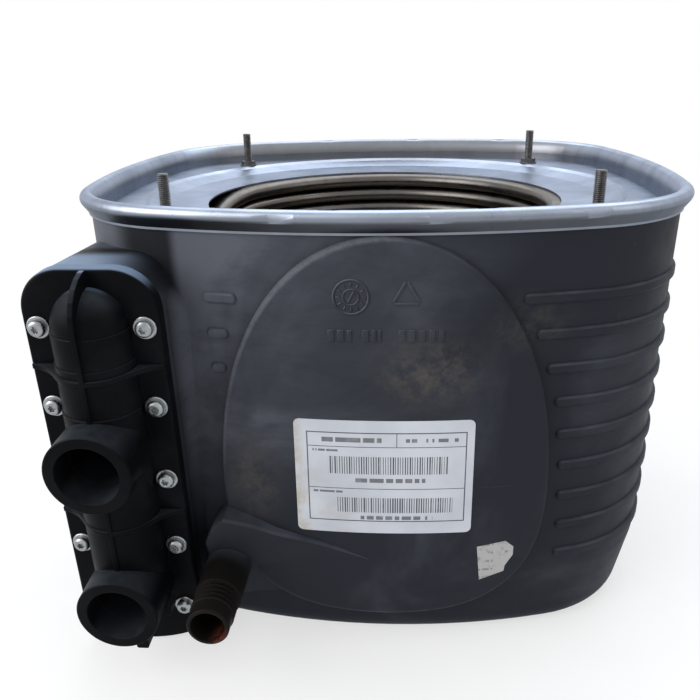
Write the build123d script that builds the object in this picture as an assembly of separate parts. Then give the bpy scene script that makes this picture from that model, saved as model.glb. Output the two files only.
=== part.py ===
from build123d import *
from build123d.topology import SkipClean
import math
import os

os.makedirs("parts", exist_ok=True)

# Boiler heat exchanger standing on its rear face: millimetres, +Z runs along the coil axis to the
# burner door, -Y is the side with the water ports. Heights below count from a level REST_Z above the rest
# face; every piece is lifted as it is saved, so the saved origin is where the axis meets the rest face.

# ---- casing outline: four flat-ish bulged sides joined by round corners ----
HALF_X = 166.9
HALF_Y = 158.8
SIDE_X_R = 481.0
SIDE_Y_R = 377.0
CORNER_R = 76.5

# ---- levels along the coil axis ----
REST_Z = -14.0
FOOT_TOP = 25.0
PLATE_Z = 213.0
BEAD_CENTRE = (0.9, 223.54)
SKIRT_Z = 215.8
CASING_TOP = 219.0
NECK_Z = 206.2
STUD_TIP_Z = 237.3

# ---- casing ----
WALL = 3.2
FLOOR = 4.0
DRAFT = 0.8
FOOT_DRAW_X = 8.0
FOOT_DRAW_Y = 1.5
BASE_FILLET = 12.0
RECESS_TOP = 0.5
REST_RING = 14.5
WALL_INSET = 0.4

# ---- front plate ----
SHEET = 1.0
BEAD_R = 3.8
ROLL_FROM = 140.0
CONE_ANGLE = -35.0
SKIRT_X = 0.9
RIM_INNER = 4.9
NECK_R = 112.6
DISH_R = 150.0
STUD_PITCH = 220.0
STUD_R = 3.0
STUD_ROOT_R = 3.2
COLLAR_H = 3.6

# ---- coils: flattened tube wound in level turns with a short drop between them ----
TUBE_WIDE = 18.0
TUBE_HIGH = 9.6
TUBE_WALL = 0.9
COIL_R = 113.0
COIL_PITCH = 10.6
TURNS = 4
TOP_TURN_Z = 200.7
COIL_TOPS = {"coil_primary_front": TOP_TURN_Z,
             "coil_primary_middle": TOP_TURN_Z - TURNS * COIL_PITCH,
             "coil_primary_back": TOP_TURN_Z - 2 * TURNS * COIL_PITCH,
             "coil_secondary": 51.5}
DROP_START = 150.0
DROP_END = 206.0
LEAD_X = -133.5
LEAD_BEND_R = 20.0
EXIT_ANGLE = 125.0
EXIT_BEND_R = 30.0
LEAD_END_Y = -139.0
LEAD_DROP = 12.0
LEAD_DROP_FROM_Y = -70.0
LEAD_DROP_TO_Y = -112.0

# ---- water manifold on the port side ----
HEAD_X = -130.2
HEAD_Y = -170.5
HEAD_Z = 103.5
HEAD_TILT = 3.0
COVER_HALF_W = 32.5
COVER_HALF_H = 101.5
COVER_CORNER = 21.0
COVER_HEEL = 109.2
COVER_TIP = 117.5
COVER_LOW_CORNER = 9.0
FLANGE = 7.0
RECESS_HALF_W = 20.5
RECESS_HALF_H = 97.0
RECESS_DEPTH = 3.0
RECESS_CORNER = 10.0
CHANNEL_R = 15.0
DOME_R = 18.0
DOME_TOP = 75.0
RIB_TOP = 20.5
RIB_T = 2.4
PORT_R = 21.0
PORT_BORE_R = 15.4
PORT_SEAT = 15.6
UPPER_PORT_LENGTH = 32.4
LOWER_PORT_LENGTH = 29.5
UPPER_PORT = 12.5
LOWER_PORT = -73.0
HOT_WAY = (UPPER_PORT, 75.0)
COLD_WAY = (LOWER_PORT, -34.0)
SCREW_R = 2.0
WASHER_T = 1.0
SCREW_X = 25.2
SCREW_PITCH = 41.2
SCREW_ROWS = [(2 - row) * SCREW_PITCH - 9.1 for row in range(5)]
CAVITY_HALF_W = 16.5
CAVITY_HALF_H = 93.5
CAVITY_CORNER = 6.0
TUBE_SHEET_Y = -132.0
TUBE_SHEET_Z = 105.5
PARTITION_Z = [178.8, 136.4, 94.0, 29.6]

# ---- stiffening ribs and the raised pad ----
TOP_RIB_Z = 183.7
RIB_PITCH = 18.45
RIB_LEFT = [72.5, 80.0, 86.5, 92.0, 94.5, 96.8, 98.0, 99.0, 99.5]
PILLS = [(-84.0, -67.0), (-83.5, -72.5), (-83.0, -75.0)]
RIB_HALF = 2.6
RIB_PROUD = 1.7
PAD_X = 4.0
PAD_WIDEST_Z = 84.0
PAD_HALF_W = 84.5
PAD_UP = 131.5
PAD_DOWN = 77.0
PAD_PROUD = 4.2
PAD_EASE = 3.0

# ---- condensate spigot ----
SPIGOT_X = -80.5
SPIGOT_Z = 33.5
SPIGOT_END_Y = -207.0
SPIGOT_ROOT_Y = -150.0
SPIGOT_SLEEVE = 8.6
BARB_PITCH = 3.1
SPIGOT_R = 10.6
SPIGOT_BORE_R = 8.7

# ---- labels on the pad ----
LABEL_X = 4.2
LABEL_Z = 92.3
LABEL_W = 90.0
LABEL_H = 65.0
STICKER_X = 62.0
STICKER_Z = 41.5

# ---- flue outlet on the far side ----
FLUE_Z = 54.0
FLUE_BORE_R = 40.5
FLUE_WALL = 5.5
FLUE_END_Y = 186.0
FLUE_SEAL = 5.0
FLUE_SHOULDER_Y = 160.0

# ---- tie rods and inner plates ----
ROD_AT = 100.0
ROD_R = 2.5
ROD_LOW = 4.8
ROD_TOP = 207.8
BAFFLE_Z = 62.0
INSULATION_TOP = 90.0
REAR_PLATE_Z = 10.0


def save(shape, name):
    export_step(Pos(0, 0, -REST_Z) * shape, f"parts/{name}.step")


def stub(radius, length):
    """Cylinder standing on the XY plane."""
    return Cylinder(radius, length, align=(Align.CENTER, Align.CENTER, Align.MIN))


def fused(shapes):
    """One shape from a list of solids that touch or overlap."""
    shapes = list(shapes)
    return shapes[0].fuse(*shapes[1:]) if len(shapes) > 1 else shapes[0]


# ---------------------------------------------------------------- outline helpers

def corner_centre(half_x, half_y):
    """Centre of the corner arc on the +x +y side, mirrored for the other three."""
    x1, r1 = half_x - SIDE_X_R, SIDE_X_R - CORNER_R
    y2, r2 = half_y - SIDE_Y_R, SIDE_Y_R - CORNER_R
    gap = math.hypot(x1, y2)
    along = (r1 * r1 - r2 * r2 + gap * gap) / (2 * gap)
    across = math.sqrt(r1 * r1 - along * along)
    ex, ey = -x1 / gap, y2 / gap
    a = (x1 + along * ex - across * ey, along * ey + across * ex)
    b = (x1 + along * ex + across * ey, along * ey - across * ex)
    return a if sum(a) > sum(b) else b


def outline_arcs(draw_x=0.0, draw_y=0.0):
    """The eight arcs of the outline, counter-clockwise: centre, radius, start angle, sweep."""
    half_x, half_y = HALF_X - draw_x, HALF_Y - draw_y
    cx, cy = corner_centre(half_x, half_y)
    side_angle = math.degrees(math.atan2(cy, cx - (half_x - SIDE_X_R)))
    end_angle = math.degrees(math.atan2(cy - (half_y - SIDE_Y_R), cx))
    side = 2 * side_angle
    end = 180 - 2 * end_angle
    corner = end_angle - side_angle
    return [((half_x - SIDE_X_R, 0), SIDE_X_R, -side_angle, side),
            ((cx, cy), CORNER_R, side_angle, corner),
            ((0, half_y - SIDE_Y_R), SIDE_Y_R, end_angle, end),
            ((-cx, cy), CORNER_R, 180 - end_angle, corner),
            ((SIDE_X_R - half_x, 0), SIDE_X_R, 180 - side_angle, side),
            ((-cx, -cy), CORNER_R, 180 + side_angle, corner),
            ((0, SIDE_Y_R - half_y), SIDE_Y_R, 180 + end_angle, end),
            ((cx, -cy), CORNER_R, -end_angle, corner)]


def outline_face(offset, z=0.0, draw_x=0.0, draw_y=0.0):
    """The casing outline grown by offset, as a face at height z, its sides drawn in if asked."""
    edges = [CenterArc((*centre, 0), radius + offset, start, sweep)
             for centre, radius, start, sweep in outline_arcs(draw_x, draw_y)]
    return Pos(0, 0, z) * make_face(edges)


def outline_prism(offset, z0, z1):
    return extrude(outline_face(offset, z0), amount=z1 - z0, dir=(0, 0, 1))


def around_outline(profile, arcs=None):
    """Turn a profile drawn in the XZ plane, x being the offset from the outline, along its arcs."""
    pieces = []
    for centre, radius, start, sweep in arcs or outline_arcs():
        section = Pos(radius, 0, 0) * profile
        turned = revolve(section, Axis.Z, revolution_arc=sweep)
        pieces.append(Pos(*centre, 0) * Rot(0, 0, start) * turned)
    return fused(pieces)


def wall_offset(z):
    """Offset of the drafted casing wall from the outline at height z."""
    return -WALL_INSET - (CASING_TOP - z) * math.tan(math.radians(DRAFT))


def drafted_prism(inset, z0, z1):
    """The casing wall moved in by inset, as a solid between two heights."""
    low = outline_face(wall_offset(z0) - inset, z0)
    return extrude(low, amount=z1 - z0, dir=(0, 0, 1), taper=-DRAFT)


def above(z):
    """All the room above a height."""
    return Pos(0, 0, z) * Box(800, 800, 600, align=(Align.CENTER, Align.CENTER, Align.MIN))


def foot_face(inset):
    """The rest face's outline: the wall's lowest section with its sides drawn in."""
    return outline_face(wall_offset(REST_Z) - inset, REST_Z, FOOT_DRAW_X, FOOT_DRAW_Y)


def shell_shape(inset, top):
    """The casing's outer shape moved in by inset: drafted wall above, drawn-in foot below."""
    waist = outline_face(wall_offset(FOOT_TOP) - inset, FOOT_TOP)
    return drafted_prism(inset, FOOT_TOP, top) + loft([foot_face(inset), waist], ruled=True)


def upright(points_face, y):
    """Put a face drawn in the XY plane upright at depth y, its y becoming the height."""
    return Pos(0, y, 0) * Rot(90, 0, 0) * points_face


# ---------------------------------------------------------------- front plate

def around(centre, radius, angle):
    """The point at an angle on a circle in the profile's plane."""
    turn = math.radians(angle)
    return centre[0] + radius * math.cos(turn), centre[1] + radius * math.sin(turn)


def rim_side(inset):
    """One face of the rolled sheet: skirt, cone, bead, and the roll into the inner wall."""
    joint_x = around(BEAD_CENTRE, BEAD_R, ROLL_FROM)[0]
    roll_r = (joint_x + RIM_INNER) / (1 + math.cos(math.radians(ROLL_FROM)))
    drop_in = (BEAD_R - roll_r) * math.sin(math.radians(ROLL_FROM))
    roll = (roll_r - RIM_INNER, BEAD_CENTRE[1] + drop_in)
    bead_r, roll_r, skirt_x = BEAD_R - inset, roll_r - inset, SKIRT_X - inset
    cone_top = around(BEAD_CENTRE, bead_r, CONE_ANGLE)
    fall = (cone_top[0] - skirt_x) / math.tan(math.radians(-CONE_ANGLE))
    corner = (skirt_x, cone_top[1] - fall)
    joint = around(BEAD_CENTRE, bead_r, ROLL_FROM)
    wall = around(roll, roll_r, 180)
    return [Line((skirt_x, SKIRT_Z), corner), Line(corner, cone_top),
            ThreePointArc(cone_top, around(BEAD_CENTRE, bead_r, 60), joint),
            ThreePointArc(joint, around(roll, roll_r, (ROLL_FROM + 180) / 2), wall),
            Line(wall, (inset - RIM_INNER, PLATE_Z - SHEET))]


def rim_profile():
    """Rolled rim, one sheet thick."""
    low = PLATE_Z - SHEET
    ends = [Line((-RIM_INNER, low), (SHEET - RIM_INNER, low)),
            Line((SKIRT_X - SHEET, SKIRT_Z), (SKIRT_X, SKIRT_Z))]
    path = rim_side(0) + [ends[0]] + rim_side(SHEET)[::-1] + [ends[1]]
    return Rot(90, 0, 0) * make_face(Wire([line.edge() for line in path]))


def dish_profile():
    """The pressed dish from the flat of the plate down to its throat, as a section in XZ."""
    upper = [(DISH_R, PLATE_Z), (DISH_R - 2.5, PLATE_Z - 1.6), (137.0, PLATE_Z - 4.6),
             (121.0, PLATE_Z - 5.9), (NECK_R, NECK_Z + 0.5)]
    lower = [(x, z - SHEET) for x, z in reversed(upper)]
    return Rot(90, 0, 0) * make_face(Polyline(*upper, *lower, close=True))


def short_arcs(limit=12.0):
    """The outline's arcs divided into sweeps of at most limit degrees, so the rolled bead stays round."""
    parts = []
    for centre, radius, start, sweep in outline_arcs():
        count = math.ceil(sweep / limit)
        step = sweep / count
        parts += [(centre, radius, start + step * i, step) for i in range(count)]
    return parts


def front_plate():
    flat = outline_prism(SHEET / 2 - RIM_INNER, PLATE_Z - SHEET, PLATE_Z) - disc(DISH_R, PLATE_Z - 5, 10)
    holes = [Pos(x, y, PLATE_Z) * Cylinder(STUD_ROOT_R, 10) for x, y in stud_places()]
    with SkipClean():
        rim = around_outline(rim_profile(), short_arcs())
        return fused([flat, rim, revolve(dish_profile(), Axis.Z)]).cut(*holes)


def stud_places():
    half = STUD_PITCH / 2
    return [(x, y) for x in (-half, half) for y in (-half, half)]


def door_studs():
    """Four burner door studs, welded through the plate, with a flat head under it."""
    shank_low = PLATE_Z - SHEET
    shank = Pos(0, 0, shank_low) * stub(STUD_R, STUD_TIP_Z - shank_low)
    shank = chamfer(shank.edges().group_by(Axis.Z)[-1], 0.9)
    root = Pos(0, 0, shank_low) * stub(STUD_ROOT_R, SHEET + COLLAR_H + 0.3)
    stud = shank + root + Pos(0, 0, shank_low - 1.2) * stub(5.2, 1.2)
    return Compound([Pos(x, y, 0) * stud for x, y in stud_places()])


def stud_collars():
    """Hexagon collar nuts that clamp each stud to the plate."""
    collar = extrude(RegularPolygon(5.6, 6), amount=COLLAR_H) + stub(6.4, 1.0)
    collar -= Cylinder(STUD_ROOT_R, 20)
    return Compound([Pos(x, y, PLATE_Z) * collar for x, y in stud_places()])


def front_seal():
    """Silicone cord inside the rolled rim, pressed on the casing edge."""
    cord = Pos(-1.4, CASING_TOP + 2.4) * Rectangle(1.6, 4.8)
    return around_outline(Rot(90, 0, 0) * cord)


# ---------------------------------------------------------------- casing

def rib_levels():
    return [TOP_RIB_Z - RIB_PITCH * row for row in range(9)]


def bar_profile(z):
    """Section of one raised bar on the wall, flat topped with eased edges."""
    base = wall_offset(z) - 1.2
    top = wall_offset(z) + RIB_PROUD
    corners = [(base, z - RIB_HALF), (top - 0.8, z - RIB_HALF), (top, z - RIB_HALF + 0.9),
               (top, z + RIB_HALF - 0.9), (top - 0.8, z + RIB_HALF), (base, z + RIB_HALF)]
    return Rot(90, 0, 0) * make_face(Polyline(*corners, close=True))


def bar_end(z):
    """Round end of a bar, as a button whose axis is the outward normal, at the XZ origin side."""
    base = wall_offset(z) - 1.2
    length = RIB_PROUD + 1.2
    button = Pos(base, 0, z) * Rot(0, 90, 0) * stub(RIB_HALF, length)
    return chamfer(button.edges().sort_by(Axis.X)[-1], 0.8)


def near_arc():
    (_, cy), radius, start, sweep = outline_arcs()[6]
    return (0, cy), radius, start, sweep


def near_angle(x):
    """Angle on the near side's arc at a given x."""
    _, radius, _, _ = near_arc()
    return 270 + math.degrees(math.asin(x / radius))


def wrap_rib(z, left):
    """A rib from x = left on the near side, round the right side to the far side."""
    centre, radius, start, sweep = near_arc()
    arcs = outline_arcs()
    first = near_angle(left)
    near = (centre, radius, first, start + sweep - first)
    far_centre, far_radius, far_start, _ = arcs[2]
    far = (far_centre, far_radius, far_start, 90 - far_start - (near_angle(left) - 270))
    run = around_outline(bar_profile(z), [near, arcs[7], arcs[0], arcs[1], far])
    ends = [Pos(*centre, 0) * Rot(0, 0, first) * (Pos(radius, 0, 0) * bar_end(z)),
            Pos(*far_centre, 0) * Rot(0, 0, far[2] + far[3]) * (Pos(far_radius, 0, 0) * bar_end(z))]
    return fused([run, *ends])


def pill(z, x0, x1):
    """A short raised bar on the near side between two x values."""
    centre, radius, _, _ = near_arc()
    a, b = near_angle(x0 + RIB_HALF), near_angle(x1 - RIB_HALF)
    run = around_outline(bar_profile(z), [(centre, radius, a, b - a)])
    ends = [Pos(*centre, 0) * Rot(0, 0, angle) * (Pos(radius, 0, 0) * bar_end(z)) for angle in (a, b)]
    return fused([run, *ends])


def pad_outline():
    """Arch-shaped outline of the raised pad, x across and y up, from two superellipse halves."""
    points = []
    for step in range(24):
        angle = math.radians(step * 15 + 7.5)
        power = 2 / (2.1 if math.sin(angle) > 0 else 2.7)
        reach = PAD_UP if math.sin(angle) > 0 else PAD_DOWN
        across = math.copysign(abs(math.cos(angle)) ** power, math.cos(angle))
        along = math.copysign(abs(math.sin(angle)) ** power, math.sin(angle))
        points.append((PAD_X + PAD_HALF_W * across, PAD_WIDEST_Z + reach * along))
    return make_face(Spline(*points, periodic=True))


def pad():
    """The raised pad: the outline run into the wall, cut to the pad's bulged face and eased round it."""
    slab = extrude(upright(pad_outline(), -140), amount=40, dir=(0, -1, 0))
    solid = slab & outline_prism(PAD_PROUD, -20, 240)
    front = solid.faces().sort_by(Axis.Y)[0]
    return fillet(front.edges(), PAD_EASE)


def inner_cavity():
    return shell_shape(WALL, CASING_TOP + 1) & above(FLOOR)


# ---- manifold frame: x across, y up the cover, z out of its face ----
HEAD_PLANE = Plane(origin=(HEAD_X, HEAD_Y, HEAD_Z), x_dir=(1, 0, 0),
                   z_dir=(0, -math.cos(math.radians(HEAD_TILT)), -math.sin(math.radians(HEAD_TILT))))


def on_head(shape):
    return HEAD_PLANE.location * shape


def cover_face(inset=0.0):
    """Rounded outline of the manifold: wide round shoulders, and a bulged lower end with small corners."""
    w, top = COVER_HALF_W - inset, COVER_HALF_H - inset
    heel, tip = COVER_HEEL - inset, COVER_TIP - inset
    sides = Polyline((-w, -heel), (-w, top), (w, top), (w, -heel))
    face = make_face([*sides.edges(), ThreePointArc((w, -heel), (0, -tip), (-w, -heel)).edge()])
    face = fillet(face.vertices().filter_by(lambda v: v.Y > 0), COVER_CORNER - inset)
    return fillet([v for v in face.vertices() if abs(v.Y + heel) < 0.01], COVER_LOW_CORNER - inset)


def slot_face(half_w, half_h, corner):
    return RectangleRounded(2 * half_w, 2 * half_h, corner)


def header_body():
    """Manifold box that grows out of the casing's near-left corner, flared to the right."""
    front = Pos(0, 0, -FLANGE) * cover_face(0.4)
    box = extrude(front, amount=100, dir=(0, 0, -1), taper=4)
    near = Pos(0, -6, -FLANGE - 8) * RectangleRounded(2 * COVER_HALF_W - 3, 2 * COVER_HALF_H + 1, 17)
    wide = Pos(5.0, -10, -36) * RectangleRounded(2 * COVER_HALF_W + 7, 2 * COVER_HALF_H - 11, 24)
    body = on_head(box) + on_head(loft([near, wide]))
    return body & above(REST_Z)


def header_cavity():
    slot = Pos(0, 0, -FLANGE) * slot_face(CAVITY_HALF_W, CAVITY_HALF_H, CAVITY_CORNER)
    room = on_head(extrude(slot, amount=60, dir=(0, 0, -1)))
    front_of_sheet = Pos(0, TUBE_SHEET_Y - 100, 0) * Box(800, 200, 600)
    return room & front_of_sheet


def header_core():
    """Block that carries the tube sheet behind the manifold, inside the casing."""
    width = 2 * CAVITY_HALF_W + 7
    return Pos(HEAD_X, TUBE_SHEET_Y + FLOOR - 12, TUBE_SHEET_Z) * Box(width, 24, 199)


def tube_levels():
    """Heights of the tube ends in the manifold: the dropped first lead and the last turn of each coil."""
    last = (TURNS - 1) * COIL_PITCH
    return [level for top in COIL_TOPS.values() for level in (top - LEAD_DROP, top - last)]


def tube_section(grow=0.0):
    """Flattened tube section, wide along x, high along y."""
    return SlotOverall(TUBE_WIDE + 2 * grow, TUBE_HIGH + 2 * grow)


def tube_slots(grow):
    return [extrude(Pos(LEAD_X, TUBE_SHEET_Y - 20, level) * Rot(90, 0, 0) * tube_section(grow), amount=60,
                    dir=(0, 1, 0)) for level in tube_levels()]


def near_wall(x):
    """Depth of the outline's near side at a given x."""
    (_, cy), radius, _, _ = near_arc()
    return cy - math.sqrt(radius * radius - x * x)


def wedge_section(x, low, high, nose):
    """Drain channel section at x: its face leans out from the wall at low to a ridge at high."""
    points = [(-140, low), (near_wall(x) + 1.5, low), (nose, high - 1.4), (nose + 1.2, high), (-140, high)]
    return make_face(Polyline(*[Vector(x, y, z) for y, z in points], close=True))


def condensate_wedge():
    """Drain channel bulging out of the wall, deep at the spigot and fading to the right."""
    stations = [(-94.5, 19.0, 38.0, -151.0), (-91.0, 12.0, 52.0, -162.5), (-86.5, 8.5, 61.5, -166.6),
                (-79.5, 7.0, 68.6, -167.6),
                (-65.0, 11.3, 64.3, -165.6), (-52.0, 14.5, 59.0, -164.6), (-30.0, 19.0, 53.4, -163.9),
                (-4.0, 22.0, 44.5, -163.2)]
    return loft([wedge_section(*station) for station in stations], ruled=True)


def spigot():
    """Hose spigot: a plain root, four barbs and a plain end sleeve, running out along -Y."""
    length = SPIGOT_ROOT_Y - SPIGOT_END_Y
    barb_from = length - SPIGOT_SLEEVE - 4 * BARB_PITCH
    points = [(0, 0), (SPIGOT_R + 1.6, 0), (SPIGOT_R + 1.4, barb_from - 0.6)]
    for barb in range(4):
        at = barb_from + barb * BARB_PITCH
        points += [(SPIGOT_R - 0.5, at), (SPIGOT_R + 0.7, at + BARB_PITCH - 0.8),
                   (SPIGOT_R + 0.7, at + BARB_PITCH - 0.3)]
    points += [(SPIGOT_R, length - SPIGOT_SLEEVE), (SPIGOT_R, length - 0.6), (SPIGOT_R - 0.6, length)]
    points += [(0, length)]
    solid = revolve(make_face(Polyline(*points, close=True)), Axis.Y)
    return Pos(SPIGOT_X, SPIGOT_ROOT_Y, SPIGOT_Z) * Rot(180, 0, 0) * solid


def spigot_bore():
    return Pos(SPIGOT_X, SPIGOT_END_Y, SPIGOT_Z) * Rot(-90, 0, 0) * stub(SPIGOT_BORE_R, 66)


def along_flue(y, shape):
    """Stand a shape made along +Z on the flue axis, its foot at depth y."""
    return Pos(0, y, FLUE_Z) * Rot(-90, 0, 0) * shape


def flue_collar():
    return along_flue(150, stub(FLUE_BORE_R + FLUE_WALL, FLUE_END_Y - 150))


def flue_bore():
    socket = along_flue(FLUE_SHOULDER_Y, stub(FLUE_BORE_R, 40))
    throat = along_flue(140, stub(FLUE_BORE_R - 3.5, 80))
    seat = along_flue(FLUE_END_Y - FLUE_SEAL, stub(FLUE_BORE_R + 2.5, 20))
    return socket + throat + seat


def flue_seal():
    ring = stub(FLUE_BORE_R + 2.5, FLUE_SEAL) - stub(FLUE_BORE_R, 20)
    return along_flue(FLUE_END_Y - FLUE_SEAL, ring)


def screw_places():
    return [(x, y) for x in (-SCREW_X, SCREW_X) for y in SCREW_ROWS]


def insert_holes(radius, depth):
    hole = Pos(0, 0, -FLANGE - depth) * stub(radius, depth + 1)
    return [on_head(Pos(x, y, 0) * hole) for x, y in screw_places()]


def floor_recess():
    """Shallow recess in the rear face with stiffening spokes, so that only a rim and spokes rest."""
    recess = extrude(foot_face(REST_RING), amount=RECESS_TOP - REST_Z, dir=(0, 0, 1))
    spokes = [Rot(0, 0, angle) * Box(400, 3.2, 60) for angle in range(0, 180, 30)]
    under_header = Pos(HEAD_X, -147, REST_Z) * Box(48, 17, 40)
    return fused([recess.cut(*spokes, Cylinder(12, 60)), under_header])


def casing():
    shell = shell_shape(0, CASING_TOP)
    shell = fillet(shell.edges().group_by(Axis.Z)[0], BASE_FILLET)
    ribs = [wrap_rib(z, left) for z, left in zip(rib_levels(), RIB_LEFT)]
    pills = [pill(z, x0, x1) for z, (x0, x1) in zip(rib_levels(), PILLS)]
    body = fused([shell, pad(), header_body(), condensate_wedge(), spigot(), flue_collar(), *ribs, *pills])
    body = body - inner_cavity()
    core = header_core() & shell_shape(WALL / 2, CASING_TOP - 4) & above(FLOOR / 2)
    body = body + core
    openings = [header_cavity(), spigot_bore(), flue_bore(), floor_recess()]
    return body.cut(*openings, *tube_slots(0.4), *insert_holes(3.0, 10))


def rod_places():
    return [(x, y) for x in (-ROD_AT, ROD_AT) for y in (-ROD_AT, ROD_AT)]


# ---------------------------------------------------------------- coils

def ring_point(angle, radius=COIL_R):
    return radius * math.cos(math.radians(angle)), radius * math.sin(math.radians(angle))


def level_turn(section, z, start, stop):
    turned = revolve(Rot(90, 0, 0) * (Pos(COIL_R, z) * section), Axis.Z, revolution_arc=stop - start)
    return Rot(0, 0, start) * turned


def drop(section, z):
    """The short S-shaped drop from one turn to the next."""
    stations = 6
    faces = []
    for i in range(stations + 1):
        t = i / stations
        angle = DROP_START + (DROP_END - DROP_START) * t
        height = z - COIL_PITCH * (3 * t * t - 2 * t ** 3)
        faces.append(Rot(0, 0, angle) * (Rot(90, 0, 0) * (Pos(COIL_R, height) * section)))
    return loft(faces)


def arc_run(section, z, centre, radius, start, sweep):
    """Bend of the tube in a level plane about a centre."""
    turned = revolve(Rot(90, 0, 0) * (Pos(radius, z) * section), Axis.Z, revolution_arc=sweep)
    return Pos(*centre, 0) * Rot(0, 0, start) * turned


def straight_run(section, z, start, stop):
    dx, dy = stop[0] - start[0], stop[1] - start[1]
    length = math.hypot(dx, dy)
    heading = math.degrees(math.atan2(dy, dx))
    run = extrude(section, amount=length)
    return Pos(*start, z) * Rot(0, 0, heading - 90) * Rot(-90, 0, 0) * run


def lead_fall(section, z):
    """The first lead's fall from its turn to its own height in the manifold."""
    stations = 6
    faces = []
    for i in range(stations + 1):
        t = i / stations
        y = LEAD_DROP_FROM_Y + (LEAD_DROP_TO_Y - LEAD_DROP_FROM_Y) * t
        height = z - LEAD_DROP * (3 * t * t - 2 * t ** 3)
        faces.append(upright(Pos(LEAD_X, height) * section, y))
    return loft(faces)


def first_lead(section, z):
    """From the manifold along +Y with a rise on the way, then a bend that joins the first turn."""
    cx = LEAD_X + LEAD_BEND_R
    cy = -math.sqrt((COIL_R + LEAD_BEND_R) ** 2 - cx * cx)
    join = math.degrees(math.atan2(-cy, -cx))
    low = straight_run(section, z - LEAD_DROP, (LEAD_X, LEAD_END_Y), (LEAD_X, LEAD_DROP_TO_Y))
    high = straight_run(section, z, (LEAD_X, LEAD_DROP_FROM_Y), (LEAD_X, cy))
    bend = arc_run(section, z, (cx, cy), LEAD_BEND_R, join, 180 - join)
    return [low, lead_fall(section, z), high, bend], 180 + join


def last_lead(section, z):
    """From the end of the last turn, off at a tangent and bent into line with -Y."""
    x0, y0 = ring_point(EXIT_ANGLE)
    heading = math.radians(EXIT_ANGLE + 90)
    ux, uy = math.cos(heading), math.sin(heading)
    reach = (LEAD_X - x0) / ux
    corner_y = y0 + uy * reach
    turn = 270 - (EXIT_ANGLE + 90)
    tangent = EXIT_BEND_R * math.tan(math.radians(turn / 2))
    bend_start = (LEAD_X - ux * tangent, corner_y - uy * tangent)
    centre = (LEAD_X + EXIT_BEND_R, corner_y - tangent)
    off = straight_run(section, z, (x0, y0), bend_start)
    bend = arc_run(section, z, centre, EXIT_BEND_R, EXIT_ANGLE, turn)
    home = straight_run(section, z, (LEAD_X, corner_y - tangent), (LEAD_X, LEAD_END_Y))
    return [off, bend, home]


def coil_body(section, top):
    lead, angle = first_lead(section, top)
    pieces = lead
    for turn in range(TURNS):
        z = top - turn * COIL_PITCH
        start = angle if turn == 0 else DROP_END
        stop = EXIT_ANGLE if turn == TURNS - 1 else DROP_START
        pieces.append(level_turn(section, z, start, stop + 360))
        if turn < TURNS - 1:
            pieces.append(drop(section, z))
    pieces += last_lead(section, top - (TURNS - 1) * COIL_PITCH)
    return fused(pieces)


def coil():
    """One hollow coil at the front position; the others are the same piece lower down."""
    return coil_body(tube_section(), TOP_TURN_Z) - coil_body(tube_section(-TUBE_WALL), TOP_TURN_Z)


# ---------------------------------------------------------------- inner plates

def disc(radius, z0, thickness):
    return Pos(0, 0, z0) * stub(radius, thickness)


def cross_arms(length, width, z0):
    """Two crossed sheet arms that reach out to the tie rods."""
    return [Rot(0, 0, angle) * Pos(0, 0, z0 + 0.75) * Box(length, width, 1.5) for angle in (45, 135)]


def baffle_plate():
    plate = disc(121.0, BAFFLE_Z, 1.5)
    ears = [Pos(x, y, BAFFLE_Z) * stub(9, 1.5) for x, y in rod_places()]
    holes = [Pos(x, y, BAFFLE_Z) * Cylinder(ROD_R, 10) for x, y in rod_places()]
    return fused([plate, *cross_arms(282, 14, BAFFLE_Z), *ears]).cut(*holes, disc(3.0, BAFFLE_Z - 5, 10))


def baffle_insulation():
    block = disc(101.0, BAFFLE_Z + 1.5, INSULATION_TOP - BAFFLE_Z - 1.5)
    block = fillet(block.edges().group_by(Axis.Z)[-1], 3)
    return block - disc(3.0, BAFFLE_Z, 60)


def baffle_washer():
    washer = disc(19.0, INSULATION_TOP, 1.2) - disc(3.0, INSULATION_TOP - 5, 10)
    return chamfer(washer.edges().group_by(Axis.Z)[-1].sort_by(SortBy.LENGTH)[-1], 0.5)


def baffle_bolt():
    top = INSULATION_TOP + 1.2
    head = extrude(Pos(0, 0, top) * RegularPolygon(5.8, 6), amount=4.0)
    return head + disc(3.0, BAFFLE_Z - 4, top + 4 - BAFFLE_Z)


def baffle_nut():
    return extrude(Pos(0, 0, BAFFLE_Z - 5) * RegularPolygon(5.8, 6), amount=5) - disc(3.0, 0, 100)


def rear_plate():
    plate = disc(124.0, REAR_PLATE_Z, 1.5)
    holes = [Pos(x, y, REAR_PLATE_Z) * Cylinder(ROD_R, 10) for x, y in rod_places()]
    return fused([plate, *cross_arms(298, 16, REAR_PLATE_Z)]).cut(*holes)


def rear_insulation():
    return disc(118.0, FLOOR, REAR_PLATE_Z - FLOOR)


def tie_rods():
    rod = disc(ROD_R, ROD_LOW, ROD_TOP - ROD_LOW)
    return Compound([Pos(x, y, 0) * rod for x, y in rod_places()])


def tie_rod_nuts():
    nut = extrude(Pos(0, 0, REAR_PLATE_Z - 4.5) * RegularPolygon(4.6, 6), amount=4.5) - disc(ROD_R, 0, 30)
    return Compound([Pos(x, y, 0) * nut for x, y in rod_places()])


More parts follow.
